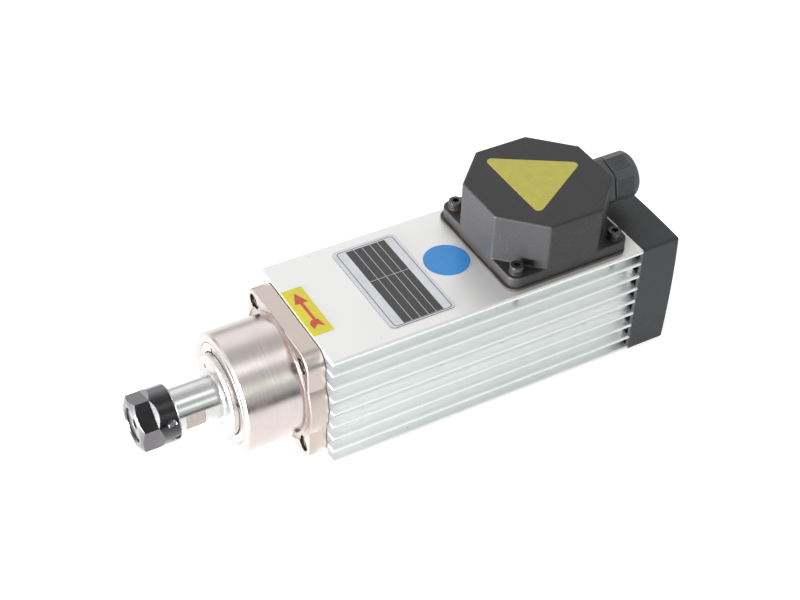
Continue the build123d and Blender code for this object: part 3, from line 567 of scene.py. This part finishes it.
def rounded_outline(x0, x1, y0, y1, r, steps=6):
    corners = (
        (x1 - r, y1 - r, 0),
        (x0 + r, y1 - r, 90),
        (x0 + r, y0 + r, 180),
        (x1 - r, y0 + r, 270),
    )
    points = []
    for cx, cy, start in corners:
        for k in range(steps + 1):
            a = radians(start + 90 * k / steps)
            points.append((cx + r * cos(a), cy + r * sin(a)))
    return points


def rounded_line(x0, x1, y0, y1, r, width):
    """A closed line of even width round a rounded rectangle, as four-sided outlines."""
    outer = rounded_outline(x0, x1, y0, y1, r)
    inner = rounded_outline(x0 + width, x1 - width, y0 + width, y1 - width, r - width)
    strips = []
    for k in range(len(outer)):
        m = (k + 1) % len(outer)
        strips.append([outer[k], outer[m], inner[m], inner[k]])
    return strips


ink = film("plate_ink", (0.045, 0.043, 0.045), 0.45, 0.85)
red = film("arrow_red", (0.78, 0.075, 0.05))
plate_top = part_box("rating_plate")[1].z
label_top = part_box("direction_label")[1].z

border = rounded_line(57.2, 95.8, -36.7, 36.9, 2.4, 0.45)
thin_piece("plate_border", border, plate_top, ink)

row_edges = (63.2, 68.8, 74.3, 79.8, 84.9, 90.0)
row_y0, row_y1 = -36.0, 35.6
row_split = 4.8
half_gap = 0.16
bars = []
for a, b in zip(row_edges, row_edges[1:]):
    x0, x1 = a + half_gap, b - half_gap
    for y0, y1 in ((row_y0, row_split - half_gap), (row_split + half_gap, row_y1)):
        bars.append([(x0, y0), (x1, y0), (x1, y1), (x0, y1)])
thin_piece("plate_rows", bars, plate_top, ink)

arrow = [
    (19.3, 16.4), (15.2, 6.8), (18.2, 6.5), (18.8, -9.2), (17.3, -9.3), (15.3, -12.3),
    (16.0, -16.8), (19.4, -13.7), (23.0, -16.8), (21.7, -9.6), (20.6, -9.3), (20.4, 6.6),
    (23.6, 6.6),
]
thin_piece("label_arrow", [arrow], label_top, red)


# Light all round; seen directly it is plain white

grey = 0.8
front_level = 0.70
rear_level = 1.36
rear_drop = 0.72
front_drop = 0.64
soft_boxes = (
    ((0.243, -0.271, 0.932), 2, 13, 1.3),
    ((0.243, -0.806, 0.540), 1, 11, 1.0),
)

world = bpy.data.worlds.new("studio")
scene.world = world
world.use_nodes = True
world.node_tree.nodes.clear()
sky = Nodes(world.node_tree)
way = sky.node("ShaderNodeTexCoord").outputs["Generated"]
way_y, way_z = sky.parts(way)[1:]


def patch(direction, inner, outer, gain):
    """Light round a direction, full within inner degrees of it and gone beyond outer."""
    dot = sky.measure("DOT_PRODUCT", way, Vector(direction).normalized())
    return sky.ramp(dot, cos(radians(outer)), cos(radians(inner)), 0.0, gain)


low_rear = sky.times(
    sky.ramp(way_y, 0.30, 0.80, 0.0, rear_drop), sky.ramp(way_z, 0.08, 0.42, 1.0, 0.0)
)
low_front = sky.times(
    sky.ramp(way_y, -0.5, 0.0, front_drop, 0.0), sky.ramp(way_z, 0.02, 0.22, 1.0, 0.0)
)
tent = sky.minus(sky.ramp(way_y, 0.30, 0.70, front_level, rear_level), low_rear)
for soft_box in soft_boxes:
    tent = sky.plus(tent, patch(*soft_box))
tent = sky.minus(tent, low_front)
shown = sky.shown()
unseen = sky.minus(1.0, shown)
level = sky.plus(sky.times(shown, 1 / grey), sky.times(unseen, tent))
green = sky.times(unseen, patch((0.289, -0.845, 0.45), 4, 16, 1.0))
tint = sky.mix(green, (grey, grey, grey), (0.75, 0.85, 0.78))
back = sky.node("ShaderNodeBackground", Color=tint, Strength=level)
sky.node("ShaderNodeOutputWorld", Surface=back.outputs[0])


# Lamp, floor and camera

key_place = Vector((-1.25, -0.12, 0.045))
key_target = Vector((-0.05, 0, 0.04))
key_light = bpy.data.lights.new("key", "AREA")
key_light.shape = "RECTANGLE"
key_light.size = 0.8
key_light.size_y = 0.22
key_light.energy = 80.0
key = bpy.data.objects.new("key", key_light)
key.location = key_place
key.rotation_euler = (key_target - key_place).to_track_quat("-Z", "Y").to_euler()
scene.collection.objects.link(key)

floor_finish = Finish("floor_white", Roughness=0.9)
floor_tone = floor_finish.mix(floor_finish.noise(3.0), (0.79, 0.79, 0.79), (0.81, 0.81, 0.81))
glow = floor_finish.plus(floor_finish.times(floor_finish.shown(), 0.28), 0.32)
floor_finish.set(Base_Color=floor_tone, Emission_Color=(1, 1, 1), Emission_Strength=glow)

floor_z = cad_box[0][2] - 0.2 * MM
floor_corners = ((-3.0, -0.45), (3.0, -0.45), (3.0, 3.0), (-3.0, 3.0))
floor_mesh = bpy.data.meshes.new("floor")
floor_mesh.from_pydata([(x, y, floor_z) for x, y in floor_corners], [], [(0, 1, 2, 3)])
floor_mesh.materials.append(floor_finish.material)
floor = bpy.data.objects.new("floor", floor_mesh)
scene.collection.objects.link(floor)

camera_place = Vector((-268.04, -591.28, 621.18)) * MM
back_axis = Vector((-0.38396, -0.64946, 0.65634)).normalized()
right_axis = Vector((0.87119, -0.49034, 0.02444))
right_axis = (right_axis - back_axis * right_axis.dot(back_axis)).normalized()
up_axis = back_axis.cross(right_axis)
turned = Matrix((right_axis, up_axis, back_axis)).transposed().to_4x4()
camera_data = bpy.data.cameras.new("camera")
camera_data.sensor_fit = "HORIZONTAL"
camera_data.sensor_width = 36.0
camera_data.lens = 68.376
camera = bpy.data.objects.new("camera", camera_data)
camera.matrix_world = Matrix.Translation(camera_place) @ turned
scene.collection.objects.link(camera)
scene.camera = camera
scene.view_settings.view_transform = "Standard"
